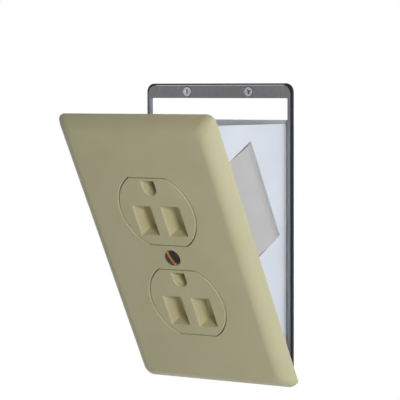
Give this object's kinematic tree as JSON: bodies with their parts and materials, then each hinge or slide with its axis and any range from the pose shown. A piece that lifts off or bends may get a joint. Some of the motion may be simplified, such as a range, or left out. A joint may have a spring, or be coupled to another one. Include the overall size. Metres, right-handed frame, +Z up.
{
  "type": "outlet diversion safe",
  "caption": "Wall safe disguised as a duplex outlet: a tilting outlet plate on a slim wall frame carries a wedge-shaped pocket, with a screw-turned latch bar.",
  "frame": {"origin": "on the back face of the wall frame's lower rail, in the plane of the wall, midway between the two lower frame screws", "axes": "+X to the viewer's right along the hinge pin, -Y out of the wall towards the viewer, +Z up"},
  "size_m": [0.0698, 0.0729, 0.1114],
  "materials": {
    "ivory_plastic": "semi-gloss moulded ivory thermoset",
    "white_plastic": "fine satin moulded white plastic",
    "frame_steel": "pressed steel, dark grey satin coat",
    "foam": "black closed-cell foam strip",
    "zinc_screws": "zinc plated",
    "pin_steel": "drawn bright steel",
    "latch_steel": "pressed steel, zinc plated",
    "bushing_brass": "turned brass",
    "screw_bronze": "oil-blackened steel with worn brass edges"
  },
  "bodies": {
    "frame": {"wall_frame": "frame_steel", "edge_seal": "foam", "frame_screw_1": "zinc_screws", "frame_screw_2": "zinc_screws", "frame_screw_3": "zinc_screws", "frame_screw_4": "zinc_screws", "hinge_pin": "pin_steel", "hinge_pin_cap_right": "pin_steel", "hinge_pin_cap_left": "pin_steel"},
    "door": {"face_plate": "ivory_plastic", "receptacle_face_upper": "ivory_plastic", "receptacle_face_lower": "ivory_plastic", "receptacle_screw_1": "zinc_screws", "receptacle_screw_2": "zinc_screws", "receptacle_screw_3": "zinc_screws", "receptacle_screw_4": "zinc_screws", "pocket_screw_1": "zinc_screws", "pocket_screw_2": "zinc_screws", "pocket_screw_3": "zinc_screws", "pocket_screw_4": "zinc_screws", "lock_bushing": "bushing_brass", "pocket_shell": "white_plastic", "rear_cover": "white_plastic", "rear_cover_screw_1": "zinc_screws", "rear_cover_screw_2": "zinc_screws", "rear_cover_screw_3": "zinc_screws", "rear_cover_screw_4": "zinc_screws"},
    "lock": {"lock_screw": "screw_bronze", "lock_washer": "latch_steel", "latch_bar": "latch_steel", "lock_clip": "latch_steel"},
    "ear_right": {"side_ear_right": "white_plastic"},
    "ear_left": {"side_ear_left": "white_plastic"}
  },
  "joints": [
    {"name": "door_tilt", "type": "hinge", "parent": "frame", "child": "door", "pos_m": [0, -0.0014, -0.0058], "axis": [1, 0, 0], "range_deg": [-28.2, 0]},
    {"name": "lock_turn", "type": "hinge", "parent": "door", "child": "lock", "pos_m": [0, -0.02557, 0.04223], "axis": [0, -0.8813, -0.4726], "range_deg": [-22.7, 0]},
    {"name": "ear_right_flex", "type": "hinge", "parent": "door", "child": "ear_right", "pos_m": [0.0286, -0.02001, 0.04521], "axis": [0, -0.4726, 0.8813], "range_deg": [0, 6], "stiffness_Nm_per_rad": 0.02},
    {"name": "ear_left_flex", "type": "hinge", "parent": "door", "child": "ear_left", "pos_m": [-0.0286, -0.02001, 0.04521], "axis": [0, 0.4726, -0.8813], "range_deg": [0, 6], "stiffness_Nm_per_rad": 0.02}
  ]
}
